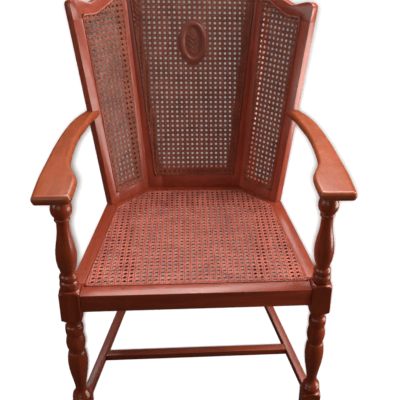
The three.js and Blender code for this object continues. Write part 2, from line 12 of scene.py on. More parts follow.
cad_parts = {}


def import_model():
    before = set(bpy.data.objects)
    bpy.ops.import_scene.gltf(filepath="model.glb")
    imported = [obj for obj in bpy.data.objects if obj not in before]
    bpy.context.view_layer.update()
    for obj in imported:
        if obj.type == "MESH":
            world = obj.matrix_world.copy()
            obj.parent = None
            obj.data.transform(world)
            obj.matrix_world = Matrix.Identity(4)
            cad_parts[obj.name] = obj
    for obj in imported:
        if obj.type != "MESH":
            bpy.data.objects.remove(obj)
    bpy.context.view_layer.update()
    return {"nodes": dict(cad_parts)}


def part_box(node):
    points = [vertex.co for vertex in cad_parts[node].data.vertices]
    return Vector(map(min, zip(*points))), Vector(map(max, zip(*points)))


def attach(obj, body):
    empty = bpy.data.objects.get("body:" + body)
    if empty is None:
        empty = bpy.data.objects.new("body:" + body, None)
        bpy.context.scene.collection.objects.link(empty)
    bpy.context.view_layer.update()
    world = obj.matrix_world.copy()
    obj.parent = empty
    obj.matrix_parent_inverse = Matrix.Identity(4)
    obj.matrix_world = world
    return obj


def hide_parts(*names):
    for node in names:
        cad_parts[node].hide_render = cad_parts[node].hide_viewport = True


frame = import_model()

nodes = frame["nodes"]
random.seed(7)

MM = 0.001

# The chair's own frame: y 0 is the face of the front rail, z 0 is the floor
FRONT_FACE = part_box("seat_front_rail")[0].y / MM
SEAT_HEIGHT = 410
SEAT_DEPTH = 471
HALF_BACK = 119.8
RECLINE = math.radians(8.14)
CORNER_SPLAY = math.radians(4.77)
WING_ANGLE = math.radians(48.36)

# Gap between pieces that meet
CLEARANCE = 0.3

# Eased edges: how far an edge is cut, and how far a board of the back swells to close its seams
EDGE_EASE = 1.2
REAR_LEG_EASE = 1.6
SEAM_EASE = 0.5
BACKING_EASE = 0.4
SEAM_SWELL = 0.24
EASE_SEGMENTS = 2
EASED_ANGLE = math.radians(35)
FLAT_ANGLE = math.radians(0.5)
WELD_METRES = 0.00002

# Limits in the outline helpers: the sharpest mitre, and when two lines count as parallel
LEAST_MITRE = 0.2
PARALLEL = 1e-9

# Angles over which an edge of a made piece is sharp, in degrees
LEG_SHARP = 30
ARM_SHARP = 32
CARVED_SHARP = 40
SPLINE_SHARP = 50
NEVER_SHARP = 180

# Front legs
LEG_SQUARE = 40.5
LEG_AXIS_X = 252.9
LEG_AXIS_Y = 18.25
LEG_CHAMFER = 2
POMMEL = 7
FOOT_TOP = 58
LOWER_BLOCK_TOP = 125
SEAT_BLOCK_FOOT = 346
SEAT_BLOCK_TOP = 419.5
ARM_UNDER = 631
LEAST_RISE = 0.02
TURNING_STEPS = 3

# Angles in a quarter turn of a leg, in degrees, before and behind its chamfered corner
LEG_ANGLES_BEFORE = (0, 7.5, 15, 22.5, 30, 36)
LEG_ANGLES_BEHIND = (54, 60, 67.5, 75, 82.5)

# Ends of a square block: growth over the turning next to it, then height
BLOCK_SHOULDER = [(0, 0), (2.6, 0.5), (6, 2)]
BLOCK_CORNER_CUT = 1.6
BLOCK_CORNER_HEIGHT = 4.8

# Arms
ARM_THICKNESS = 19
ARM_WIDTH = 68
ARM_OVERHANG = 54.3
ARM_LAP = 20
ARM_OUTER_CORNER = 8
ARM_INNER_CORNER = 14
CORNER_STEPS = 6
ARM_STEPS = 4
LEAST_REACH = 0.6
ARM_POINT_GAP = 1.5
BOARD_THICKNESS = 20
WING_FOOT_WIDTH = 129
WING_FLARE = math.radians(1.59)

# Splines
SPLINE_WIDTH = 5
SPLINE_PROUD = 1.6
SPLINE_CORNER = 5
SPLINE_CORNER_STEPS = 5
SPLINE_CORNER_ANGLE = math.radians(30)
SPLINE_CORNER_SHARE = 0.45
TOP_FACE_SLACK = 0.2

# Spline section from its side to its crown: distance from the side, then height.
SPLINE_SIDE = [(0.1, -1.2), (0.1, 0.5), (0.6, 1.15), (1.5, 1.5)]

# Nets
CANE_THICKNESS = 1.6
CANE_MIDDLE = 1.55
LEAST_RUN = 0.6
RUN_MARGIN = 0.2
SWAY = 0.12
WIDTH_CHANGE = (0.93, 1.06)
STRAIGHT_WAVE = 0.32
SLANTING_WAVE = 0.62

# Lattice of the holes: the steps across and down to the next hole, and the place of one hole
SEAT_LATTICE = ((12.902, 0.119), (-0.042, -13.299), (-58.84, 85.54))
BACK_LATTICE = ((12.297, 0.002), (0.141, -12.263), (54.72, 338.32))
RIGHT_LATTICE = ((12.865, 0.304), (0.283, -12.934), (57.8, 350.05))
LEFT_LATTICE = ((12.637, -0.282), (-0.305, -12.985), (-51.17, 352.45))

# Strand width, distance of the strands in a pair from its middle, and depth below the edge
SEAT_STRAND = (2.8, 1.8, 1.9)
BACK_STRAND = (2.8, 1.85, 0.8)
WING_STRAND = (2.8, 1.85, 0.8)

# Strand section from its lower left over the crown: share of the width, share of the depth,
# height over the edge and how light the point is: painted shade on the lower edges, with some stain.
STRAND_SECTION = [
    (-0.46, -1, 0, 0.25), (-0.5, 0, 0, 0.6), (0, 0, 0.7, 1), (0.5, 0, 0, 0.6), (0.46, -1, 0, 0.25),
]

# Medallion
MEDALLION_HEIGHT = 378.5
MEDALLION_SIDES = 96
FIELD_RINGS = 24
FIELD_SHARE = 0.97
STEM_HEIGHT = 1
STEM_HALF_WIDTH = 0.9
STEM_ENDS = (-30, 18)

# Leaves: greatest height and half width, and the power that moves the widest place to the foot
LEAF_RELIEF = 1.7
LEAF_HALF_WIDTH = 3.8
LEAF_POWER = 0.8
TOP_LEAF_FOOT = 17
TOP_LEAF_TIP = 34
TOP_LEAF_HALF_WIDTH = 3.4

# Sunk midrib: its height as a share of the leaf's, and how steeply the leaf rises beside it
MIDRIB_HEIGHT_SHARE = 0.45
MIDRIB_STEEPNESS = 3

# Pairs of leaves: the foot on the stem, the reach sideways and the rise of the tip.
LEAF_PAIRS = [(-29, 10, 15), (-18, 13, 16), (-6, 13.5, 16), (6, 11, 14), (15, 6, 11)]

# Turned outlines: share of the section's height, then diameter as a share of the leg's square.
FOOT_SHARES = [
    (0, 0.66), (0.09, 0.76), (0.26, 0.86), (0.45, 0.94), (0.62, 0.94), (0.76, 0.85),
    (0.82, 0.82), (0.86, 0.93), (0.93, 0.94), (1, 0.84),
]
LOWER_SHARES = [
    (0, 0.84), (0.012, 0.91), (0.028, 0.975), (0.052, 0.95), (0.064, 0.85), (0.075, 0.91),
    (0.095, 0.765), (0.125, 0.59), (0.155, 0.555), (0.21, 0.617), (0.28, 0.74), (0.36, 0.89),
    (0.44, 0.983), (0.49, 1), (0.55, 0.958), (0.6, 0.865), (0.612, 0.778), (0.64, 0.79),
    (0.67, 0.9), (0.724, 0.963), (0.785, 0.864), (0.82, 0.765), (0.835, 0.877), (0.875, 0.9),
    (0.91, 0.875), (0.925, 0.74), (0.96, 0.667), (1, 0.69),
]
POST_SHARES = [
    (0, 0.74), (0.022, 0.89), (0.05, 0.938), (0.079, 0.89), (0.091, 0.778), (0.103, 0.877),
    (0.13, 0.9), (0.149, 0.84), (0.165, 0.728), (0.187, 0.704), (0.212, 0.765), (0.252, 0.9),
    (0.305, 0.975), (0.362, 0.993), (0.42, 0.95), (0.492, 0.827), (0.563, 0.69), (0.626, 0.612),
    (0.69, 0.588), (0.716, 0.617), (0.73, 0.73), (0.745, 0.73), (0.757, 0.68), (0.778, 0.8),
    (0.8, 0.94), (0.838, 1.01), (0.876, 0.95), (0.914, 0.765), (0.935, 0.617), (0.948, 0.63),
    (0.957, 0.74), (0.985, 0.74), (1, 0.667),
]

# Arm plan from the front end to the wing: share of the length, then share of the width.
ARM_OUTER = [
    (0, 0.585), (0.19, 0.635), (0.36, 0.62), (0.53, 0.6), (0.69, 0.535),
    (0.825, 0.43), (0.93, 0.25), (1, 0.075),
]
ARM_INNER = [
    (0, 0.45), (0.115, 0.46), (0.18, 0.43), (0.234, 0.31), (0.306, 0.14), (0.363, 0.075),
    (0.475, 0.03), (0.577, 0.015), (0.69, 0.04), (0.8, 0.13), (0.9, 0.22),
]

# Arm edge from its underside up: how far the edge lies inside the plan, then the height.
ARM_EDGE = [
    (7, 0), (4.6, 0.6), (3, 1.8), (2.2, 3.2), (2, 4.2), (2.9, 4.7), (2.9, 5.2), (1.2, 6.2),
    (0.4, 8), (0, 10.5), (0.3, 13), (1.2, 15.2), (2.7, 17), (4.6, 18.3), (6.8, 18.9), (9, 19),
]

# Medallion outlines from the edge inwards: half width, half length and height.
MEDALLION_RINGS = [
    (36, 56, 0), (36, 56, 0.9), (35.4, 55.2, 1.5), (33.6, 51.6, 1.7), (32.7, 49.8, 1.9),
    (32.2, 49, 2.7), (31.4, 48.1, 3.6), (30, 46.8, 4.3), (28, 44.8, 4.6), (25.6, 42.4, 4.7),
    (24, 40.8, 4.5), (22.8, 39.6, 3.9), (22, 38.8, 3), (21.4, 38.2, 2.2), (20.6, 37.4, 1.9),
]


# Frames of the caned panels
def panel(origin, turn=0.0, lean=0.0):
    """A matrix to metres from a panel's own millimetres: across, up and out of its face."""
    x, y, z = origin
    place = Matrix.Translation(Vector((x, y + FRONT_FACE, z)) * MM)
    leaning = place @ Matrix.Rotation(turn, 4, "Z") @ Matrix.Rotation(lean, 4, "X")
    return leaning @ Matrix.Scale(MM, 4)


corner_line = Vector((math.tan(CORNER_SPLAY), math.tan(RECLINE), 1))
wing_across = Vector((math.cos(WING_ANGLE), -math.sin(WING_ANGLE), 0))
wing_facing = wing_across.cross(corner_line).normalized()
wing_up = wing_facing.cross(wing_across)
wing_tilt = math.asin(wing_facing.z)

upright = math.pi / 2
CHAIR = panel((0, 0, 0))
SEAT = panel((0, 0, SEAT_HEIGHT))
BACK = panel((0, SEAT_DEPTH, SEAT_HEIGHT), 0, upright - RECLINE)
WINGS = {
    "left": panel((-HALF_BACK, SEAT_DEPTH, SEAT_HEIGHT), WING_ANGLE, upright - wing_tilt),
    "right": panel((HALF_BACK, SEAT_DEPTH, SEAT_HEIGHT), -WING_ANGLE, upright - wing_tilt),
}


# Mesh helpers
def make(name, verts, faces, place, sharp):
    """A new object from millimetre points in a panel's frame."""
    mesh = bpy.data.meshes.new(name)
    mesh.from_pydata([place @ Vector(v) for v in verts], [], faces)
    mesh.validate()
    mesh.shade_smooth()
    mesh.set_sharp_from_angle(angle=math.radians(sharp))
    obj = bpy.data.objects.new(name, mesh)
    bpy.context.scene.collection.objects.link(obj)
    return obj


def dress(obj, material, slot, *replaced):
    obj.data.materials.clear()
    obj.data.materials.append(material)
    if replaced:
        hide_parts(*replaced)
    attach(obj, "root")


def rings(sections, closed_ends=True):
    """Points and faces that join sections of equal length, each a closed ring of points."""
    count = len(sections[0])
    verts = [p for section in sections for p in section]
    faces = []
    for i in range(len(sections) - 1):
        for j in range(count):
            k = (j + 1) % count
            faces.append((i * count + j, i * count + k, (i + 1) * count + k, (i + 1) * count + j))
    if closed_ends:
        faces.append(tuple(range(count - 1, -1, -1)))
        last = (len(sections) - 1) * count
        faces.append(tuple(range(last, last + count)))
    return verts, faces


def catmull(points, per_span):
    """A Catmull-Rom curve through the points, with a few steps in each span."""
    last = len(points) - 1
    made = []
    for i in range(last):
        p0, p1 = Vector(points[max(i - 1, 0)]), Vector(points[i])
        p2, p3 = Vector(points[i + 1]), Vector(points[min(i + 2, last)])
        a, b = (p2 - p0) / 2, (p3 - p1) / 2
        for step in range(per_span):
            t = step / per_span
            cubic = (2 * p1 - 2 * p2 + a + b) * t ** 3
            square = (3 * p2 - 3 * p1 - 2 * a - b) * t ** 2
            made.append(cubic + square + a * t + p1)
    made.append(Vector(points[last]))
    return made


def area(outline):
    return sum(
        a[0] * b[1] - b[0] * a[1] for a, b in zip(outline, outline[1:] + outline[:1])
    ) / 2


def offset(outline, distance):
    """Moves each edge of a counterclockwise outline outwards."""
    count = len(outline)
    made = []
    for i, p in enumerate(outline):
        before, after = outline[i - 1], outline[(i + 1) % count]
        a = Vector((p[1] - before[1], before[0] - p[0])).normalized()
        b = Vector((after[1] - p[1], p[0] - after[0])).normalized()
        scale = distance / max(1 + a.dot(b), LEAST_MITRE)
        made.append(Vector((p[0] + (a.x + b.x) * scale, p[1] + (a.y + b.y) * scale)))
    return made


def thinned(points, least):
    """Leaves out points that lie closer than a distance to the one kept before."""
    kept = [points[0]]
    for p in points[1:]:
        if (p - kept[-1]).length > least:
            kept.append(p)
    if (kept[-1] - kept[0]).length < least:
        kept.pop()
    return kept


# Materials
def tree_of(name):
    material = bpy.data.materials.new(name)
    material.use_nodes = True
    return material, material.node_tree


def add(tree, kind, values=None, **settings):
    node = tree.nodes.new("ShaderNode" + kind)
    for key, value in settings.items():
        setattr(node, key, value)
    for key, value in (values or {}).items():
        if isinstance(value, bpy.types.NodeSocket):
            tree.links.new(value, node.inputs[key])
        else:
            node.inputs[key].default_value = value
    return node


def ramp(tree, factor, stops):
    node = add(tree, "ValToRGB", {"Fac": factor})
    elements = node.color_ramp.elements
    while len(elements) < len(stops):
        elements.new(0.5)
    for element, (place, value) in zip(elements, stops):
        element.position = place
        element.color = value if isinstance(value, tuple) else (value, value, value, 1)
    return node.outputs["Color"]


def mix(tree, factor, a, b, blend="MIX"):
    node = add(tree, "Mix", data_type="RGBA", blend_type=blend)
    for key, value in ((0, factor), (6, a), (7, b)):
        if isinstance(value, bpy.types.NodeSocket):
            tree.links.new(value, node.inputs[key])
        else:
            node.inputs[key].default_value = value
    return node.outputs[2]


def noise(tree, coords, scale, detail=4.0, rough=0.55, distortion=0.0):
    values = {"Vector": coords, "Scale": scale, "Detail": detail, "Roughness": rough}
    values["Distortion"] = distortion
    return add(tree, "TexNoise", values).outputs["Fac"]


def shade(r, g, b):
    """A colour in scene-linear values from its screen values."""
    def linear(value):
        value /= 255
        return value / 12.92 if value <= 0.04045 else ((value + 0.055) / 1.055) ** 2.4
    return linear(r), linear(g), linear(b), 1.0


def wood(name, light, dark, turn=(0.0, 0.0, 0.0), gloss=0.26, scuffs=0.5):
    """Polished mahogany, whose grain runs along Z once the coordinates are turned."""
    material, tree = tree_of(name)
    shader = tree.nodes["Principled BSDF"]
    coords = add(tree, "TexCoord").outputs["Object"]
    turned = add(tree, "Mapping", {"Vector": coords, "Rotation": turn}).outputs["Vector"]
    drawn = add(tree, "Mapping", {"Vector": turned, "Scale": (1, 1, 0.07)}).outputs["Vector"]
    figure = noise(tree, drawn, 34, 5, 0.6, 1.6)
    fibre = noise(tree, drawn, 260, 4, 0.6)
    pores = noise(tree, drawn, 620, 2, 0.5)
    cloud = noise(tree, turned, 9, 3, 0.5)
    wear = noise(tree, turned, 26, 6, 0.7)
    base = ramp(tree, figure, [(0.32, dark), (0.66, light)])
    streaks = ramp(tree, fibre, [(0.3, 0.72), (0.62, 1.0)])
    base = mix(tree, 0.5, base, streaks, "MULTIPLY")
    base = mix(tree, 0.5, base, ramp(tree, cloud, [(0.3, 0.78), (0.7, 1.1)]), "MULTIPLY")
    pore_mask = ramp(tree, pores, [(0.3, 0.6), (0.42, 1.0)])
    base = mix(tree, 0.5, base, pore_mask, "MULTIPLY")
    worn = ramp(tree, wear, [(0.56, 0.0), (0.78, scuffs)])
    pale = tuple(min(c * 1.5 + 0.01, 1) for c in light[:3]) + (1,)
    base = mix(tree, worn, base, pale)
    tree.links.new(base, shader.inputs["Base Color"])
    rough = add(tree, "MapRange", {"Value": wear, "From Min": 0.35, "From Max": 0.75})
    rough.inputs["To Min"].default_value = gloss
    rough.inputs["To Max"].default_value = gloss + 0.12
    tree.links.new(rough.outputs["Result"], shader.inputs["Roughness"])
    grain = add(tree, "Bump", {"Height": fibre, "Strength": 0.12, "Distance": 0.0006})
    relief = add(tree, "Bump", {"Height": pore_mask, "Strength": 0.18, "Distance": 0.0003})
    tree.links.new(grain.outputs["Normal"], relief.inputs["Normal"])
    tree.links.new(relief.outputs["Normal"], shader.inputs["Normal"])
    shader.inputs["Specular IOR Level"].default_value = 0.5
    shader.inputs["Coat Weight"].default_value = 0.22
    shader.inputs["Coat Roughness"].default_value = 0.14
    return material


def cane_material(name, light, dark):
    """Varnished cane with fine fibres, stained unevenly, with painted shade and some stain darkening
    the strands' lower edges.
    """
    material, tree = tree_of(name)
    shader = tree.nodes["Principled BSDF"]
    coords = add(tree, "TexCoord").outputs["Object"]
    stain = noise(tree, coords, 22, 5, 0.6)
    strand = noise(tree, coords, 240, 3, 0.6)
    fleck = noise(tree, coords, 900, 2, 0.5)
    base = ramp(tree, stain, [(0.3, dark), (0.68, light)])
    base = mix(tree, 0.6, base, ramp(tree, strand, [(0.32, 0.55), (0.66, 1.1)]), "MULTIPLY")
    base = mix(tree, 0.4, base, ramp(tree, fleck, [(0.34, 0.6), (0.5, 1.0)]), "MULTIPLY")
    # Painted shade with some stain: the tone of each point darkens the strands' lower edges, down to
    # near black in the gaps.
    depth = add(tree, "Attribute", attribute_name="stain").outputs["Fac"]
    edges = ramp(tree, depth, [(0.25, 0.06), (0.6, 0.5), (0.9, 1.0)])
    base = mix(tree, 1.0, base, edges, "MULTIPLY")
    tree.links.new(base, shader.inputs["Base Color"])
    rough = add(tree, "MapRange", {"Value": strand, "From Min": 0.3, "From Max": 0.7})
    rough.inputs["To Min"].default_value = 0.34
    rough.inputs["To Max"].default_value = 0.58
    tree.links.new(rough.outputs["Result"], shader.inputs["Roughness"])
    bump = add(tree, "Bump", {"Height": fleck, "Strength": 0.25, "Distance": 0.0003})
    tree.links.new(bump.outputs["Normal"], shader.inputs["Normal"])
    shader.inputs["Coat Weight"].default_value = 0.4
    shader.inputs["Coat Roughness"].default_value = 0.24
    return material


# Turns that bring a direction of the chair to the grain axis
ALONG_X = (0.0, upright, 0.0)
ALONG_Y = (upright, 0.0, 0.0)
ALONG_Z = (0.0, 0.0, 0.0)

RAIL_LIGHT, RAIL_DARK = shade(176, 76, 48), shade(150, 58, 34)
BACK_LIGHT, BACK_DARK = shade(184, 86, 62), shade(158, 66, 46)
ARM_LIGHT, ARM_DARK = shade(176, 90, 55), shade(160, 76, 44)
LEG_LIGHT, LEG_DARK = shade(156, 66, 36), shade(128, 48, 25)

seat_rail_x = wood("mahogany_rail_across", RAIL_LIGHT, RAIL_DARK, ALONG_X)
seat_rail_y = wood("mahogany_rail_deep", RAIL_LIGHT, RAIL_DARK, ALONG_Y)
back_tall = wood("mahogany_stile", BACK_LIGHT, BACK_DARK, (RECLINE, 0.0, 0.0))
back_wide = wood("mahogany_back_rail", BACK_LIGHT, BACK_DARK, ALONG_X)
wing_wide = {
    "left": wood("mahogany_wing_rail_left", BACK_LIGHT, BACK_DARK, (0.0, upright, -WING_ANGLE)),
    "right": wood("mahogany_wing_rail_right", BACK_LIGHT, BACK_DARK, (0.0, upright, WING_ANGLE)),
}
arm_wood = wood("mahogany_arm", ARM_LIGHT, ARM_DARK, ALONG_Y, 0.22, 0.08)
leg_wood = wood("mahogany_turned", LEG_LIGHT, LEG_DARK, ALONG_Z, 0.22)
stretcher_wide = wood("mahogany_stretcher_across", LEG_LIGHT, LEG_DARK, ALONG_X, 0.42)
stretcher_deep = wood("mahogany_stretcher_deep", LEG_LIGHT, LEG_DARK, ALONG_Y, 0.42)
carved = wood("mahogany_carved", shade(158, 88, 72), shade(128, 62, 50), ALONG_Z, 0.4)
strip = wood("mahogany_spline", shade(184, 92, 72), shade(150, 66, 48), ALONG_Z, 0.32)
# The seat's cane is painted lighter and pinker than the same cane in the back and wings: painted
# light and sheen on the seat's top.
seat_strands_painted_light = cane_material("cane_seat_painted_light", shade(232, 126, 104), shade(182, 84, 70))
back_strands = cane_material("cane_back", shade(188, 104, 76), shade(144, 70, 48))


# Boards, rear legs and stretchers keep their CAD shape and get eased edges
def ease(name, material, width=EDGE_EASE, swell=0.0):
    obj = nodes[name]
    obj.data.materials.clear()
    obj.data.materials.append(material)
    weld = obj.modifiers.new("weld", "WELD")
    weld.merge_threshold = WELD_METRES
    flat = obj.modifiers.new("flat", "DECIMATE")
    flat.decimate_type = "DISSOLVE"
    flat.angle_limit = FLAT_ANGLE
    if swell:
        closed = obj.modifiers.new("closed", "DISPLACE")
        closed.strength = swell * MM
        closed.mid_level = 0
    bevel = obj.modifiers.new("ease", "BEVEL")
    bevel.width = width * MM
    bevel.segments = EASE_SEGMENTS
    bevel.limit_method = "ANGLE"
    bevel.angle_limit = EASED_ANGLE
    bevel.harden_normals = True
    obj.data.shade_smooth()
    obj.data.set_sharp_from_angle(angle=EASED_ANGLE)


def ease_framed(name, material):
    """Eases a board of the back or of a wing and closes its seams."""
    ease(name, material, SEAM_EASE, SEAM_SWELL)


for name in ("seat_front_rail", "seat_back_rail"):
    ease(name, seat_rail_x)
for hand in ("left", "right"):
    ease("seat_side_rail_" + hand, seat_rail_y)
    ease("seat_gusset_" + hand, seat_rail_y)
    ease_framed("back_stile_" + hand, back_tall)
    ease_framed("wing_inner_stile_" + hand, back_tall)
    ease_framed("wing_outer_stile_" + hand, back_tall)
    ease_framed("wing_bottom_rail_" + hand, wing_wide[hand])
    ease_framed("wing_top_rail_" + hand, wing_wide[hand])
    ease("rear_leg_" + hand, leg_wood, REAR_LEG_EASE)
    ease("side_stretcher_" + hand, stretcher_deep)
ease_framed("back_bottom_rail", back_wide)
ease_framed("back_crest_rail", back_wide)
ease("cross_stretcher", stretcher_wide)
ease("medallion_backing", carved, BACKING_EASE)


# Front legs: turned sections run into square blocks
def turned(shares, foot, top):
    """Heights and radii of a turned section."""
    half = LEG_SQUARE / 2
    rows = [(wide * half, foot + along * (top - foot)) for along, wide in shares]
    return [(p.x, p.y) for p in catmull(rows, TURNING_STEPS)]


def block(foot, top):
    """Heights and radii of the turning that shapes the two ends of a square block."""
    narrow = LEG_SQUARE / 2 * LOWER_SHARES[0][1]
    wide = LEG_SQUARE / 2 * math.sqrt(2)
    ends = [(narrow + growth, height) for growth, height in BLOCK_SHOULDER]
    ends += [(wide - BLOCK_CORNER_CUT, BLOCK_CORNER_HEIGHT), (wide, POMMEL)]
    return [(r, foot + z) for r, z in ends] + [(r, top - z) for r, z in reversed(ends)]


def leg_rows():
    rows = turned(FOOT_SHARES, 0, FOOT_TOP) + block(FOOT_TOP, LOWER_BLOCK_TOP)
    rows += turned(LOWER_SHARES, LOWER_BLOCK_TOP, SEAT_BLOCK_FOOT)
    rows += block(SEAT_BLOCK_FOOT, SEAT_BLOCK_TOP)
    rows += turned(POST_SHARES, SEAT_BLOCK_TOP, ARM_UNDER)
    spaced = [rows[0]]
    for radius, height in rows[1:]:
        spaced.append((radius, max(height, spaced[-1][1] + LEAST_RISE)))
    return spaced


def front_leg(name, side):
    half = LEG_SQUARE / 2
    edge = math.atan2(half - LEG_CHAMFER, half)
    angles = []
    for quarter in range(4):
        start = quarter * upright
        angles += [start + math.radians(a) for a in LEG_ANGLES_BEFORE]
        angles += [start + edge, start + upright / 2, start + upright - edge]
        angles += [start + math.radians(a) for a in LEG_ANGLES_BEHIND]
    reach = []
    for angle in angles:
        across = max(abs(math.cos(angle)), abs(math.sin(angle)))
        corner = abs(math.cos(angle)) + abs(math.sin(angle))
        reach.append(min(half / across, (2 * half - LEG_CHAMFER) / corner))
    sections = []
    for radius, height in leg_rows():
        section = []
        for angle, most in zip(angles, reach):
            r = min(radius, most)
            x = side * LEG_AXIS_X + r * math.cos(angle)
            section.append((x, LEG_AXIS_Y + r * math.sin(angle), height))
        sections.append(section)
    verts, faces = rings(sections)
    obj = make(name + "_turned", verts, faces, CHAIR, LEG_SHARP)
    dress(obj, leg_wood, "turned_wood", name)


front_leg("front_leg_left", -1)
front_leg("front_leg_right", 1)


# Arms
def wing_edge(v):
    return WING_FOOT_WIDTH + v * math.tan(WING_FLARE)


def wing_face(u, height):
    v = height / wing_up.z
    return Vector((HALF_BACK, SEAT_DEPTH)) + wing_across.xy * u + wing_up.xy * v


def bend(before, at, after, reach):
    """Rounds a corner of an outline, from a distance before it to as far behind it."""
    start = at + (before - at).normalized() * reach
    end = at + (after - at).normalized() * reach
    spots = [i / CORNER_STEPS for i in range(CORNER_STEPS + 1)]
    return [start * (1 - t) ** 2 + at * (2 * t * (1 - t)) + end * t ** 2 for t in spots]


def arm_plan(inset):
    """The arm seen from above, drawn in by a distance, with its two front corners rounded."""
    middle = ARM_UNDER + ARM_THICKNESS / 2 - SEAT_HEIGHT
    edge = wing_edge(middle / wing_up.z)
    behind = BOARD_THICKNESS - CLEARANCE
    heel = wing_face(edge, middle) - wing_facing.xy * behind
    lap = wing_face(edge - ARM_LAP, middle)
    front = LEG_AXIS_Y - ARM_OVERHANG

    def place(along, wide, sign):
        y = front + along * (heel.y - front)
        axis = LEG_AXIS_X + (heel.x - LEG_AXIS_X) * (y - LEG_AXIS_Y) / (heel.y - LEG_AXIS_Y)
        return Vector((axis + sign * wide * ARM_WIDTH, y))

    outer_line = [place(along, wide, 1) for along, wide in ARM_OUTER]
    inner_line = [place(along, wide, -1) for along, wide in ARM_INNER] + [lap]
    outer = thinned(catmull(outer_line, ARM_STEPS), ARM_POINT_GAP)
    inner = thinned(catmull(inner_line, ARM_STEPS), ARM_POINT_GAP)
    tail = lap - wing_facing.xy * (behind / 2)
    line = offset(list(reversed(inner)) + outer + [tail], -inset)
    corner = len(inner) - 1
    a, b, c, d = line[corner - 1:corner + 3]
    inner_reach = max(ARM_INNER_CORNER - inset, LEAST_REACH)
    outer_reach = max(ARM_OUTER_CORNER - inset, LEAST_REACH)
    corners = bend(a, b, c, inner_reach) + bend(b, c, d, outer_reach)
    return line[:corner] + corners + line[corner + 2:]


def arm(name, side):
    sections = []
    for inset, height in ARM_EDGE:
        sections.append([(side * p.x, p.y, ARM_UNDER + height) for p in arm_plan(inset)])
    if side < 0:
        sections = [list(reversed(section)) for section in sections]
    verts, faces = rings(sections)
    obj = make(name + "_shaped", verts, faces, CHAIR, ARM_SHARP)
    dress(obj, arm_wood, "arm_wood", name)


arm("arm_left", -1)
arm("arm_right", 1)


# Splines and cane panels
def spline_loop(node, place):
    """The inner edge of a CAD spline's top face, in its panel's own millimetres."""
    inverse = place.inverted()
    mesh = nodes[node].data
    points = [inverse @ v.co for v in mesh.vertices]
    key = {}
    merged = [key.setdefault((round(p.x, 2), round(p.y, 2)), (p.x, p.y)) for p in points]
    edges = {}
    for polygon in mesh.polygons:
        if min(points[i].z for i in polygon.vertices) < SPLINE_PROUD - TOP_FACE_SLACK:
            continue
        corners = [merged[i] for i in polygon.vertices]
        for a, b in zip(corners, corners[1:] + corners[:1]):
            edges[(a, b)] = edges.get((a, b), 0) + 1
    rim = {a: b for (a, b) in edges if (b, a) not in edges}
    loops = []
    while rim:
        start = next(iter(rim))
        loop = [start]
        while loop[-1] in rim:
            step = rim.pop(loop[-1])
            if step == start:
                break
            loop.append(step)
        loops.append(loop)
    inner = min(loops, key=lambda loop: abs(area(loop)))
    if area(inner) < 0:
        inner.reverse()
    return [Vector(p) for p in inner]


def rounded(outline, radius, steps):
    """Rounds the corners of an outline that turn sharply."""
    count = len(outline)
    most = SPLINE_CORNER_SHARE
    made = []
    for i, p in enumerate(outline):
        before = outline[i - 1] - p
        after = outline[(i + 1) % count] - p
        turn = math.pi - before.angle(after)
        if turn < SPLINE_CORNER_ANGLE:
            made.append(p)
            continue
        reach = min(radius * math.tan(turn / 2), before.length * most, after.length * most)
        a, b = p + before.normalized() * reach, p + after.normalized() * reach
        for step in range(steps + 1):
            t = step / steps
            made.append(a * (1 - t) ** 2 + p * (2 * t * (1 - t)) + b * t ** 2)
    return made


def spline_piece(node, place):
    """A rounded strip in place of a CAD spline. Gives back the middle line of the strip."""
    loop = rounded(spline_loop(node, place), SPLINE_CORNER, SPLINE_CORNER_STEPS)
    half = SPLINE_WIDTH / 2
    profile = SPLINE_SIDE + [(half, SPLINE_PROUD)]
    profile += [(SPLINE_WIDTH - across, height) for across, height in reversed(SPLINE_SIDE)]
    lines = [offset(loop, across) for across, _ in profile]
    sections = []
    for i in range(len(loop)):
        sections.append([(line[i].x, line[i].y, z) for line, (_, z) in zip(lines, profile)])
    sections.append(sections[0])
    verts, faces = rings(sections, False)
    count = len(profile)
    last = len(loop) * count
    faces = [tuple(i - last if i >= last else i for i in face) for face in faces]
    obj = make(node + "_strip", verts[:last], faces, place, SPLINE_SHARP)
    dress(obj, strip, "spline_wood", node)
    return offset(loop, half)


def crossings(outline, origin, direction):
    """Where a line runs inside an outline, as pairs of distances along it."""
    found = []
    for a, b in zip(outline, outline[1:] + outline[:1]):
        edge = b - a
        det = direction.x * edge.y - direction.y * edge.x
        if abs(det) < PARALLEL:
            continue
        to = a - origin
        along = (to.x * edge.y - to.y * edge.x) / det
        share = (to.x * direction.y - to.y * direction.x) / det
        if 0 <= share < 1:
            found.append(along)
    found.sort()
    return list(zip(found[::2], found[1::2]))


class Weave:
    """Flat strands with a low crown, gathered into one mesh, with the tone of each point for painted
    shade and stain.
    """

    def __init__(self):
        self.verts = []
        self.faces = []
        self.stain = []

    def strand(self, stations, width, depth):
        first = len(self.verts)
        count = len(stations)
        around = len(STRAND_SECTION)
        for i, (p, z) in enumerate(stations):
            before, after = stations[max(i - 1, 0)][0], stations[min(i + 1, count - 1)][0]
            side = (after - before).normalized()
            side = Vector((side.y, -side.x)) * width
            for across, below, above, stain in STRAND_SECTION:
                place = p + side * across
                self.verts.append((place.x, place.y, z + below * depth + above))
                self.stain.append(stain)
        for i in range(count - 1):
            a = first + i * around
            b = a + around
            for j in range(around):
                k = (j + 1) % around
                self.faces.append((a + k, b + k, b + j, a + j))
        last = first + (count - 1) * around
        self.faces.append(tuple(first + j for j in range(around)))
        self.faces.append(tuple(last + j for j in reversed(range(around))))


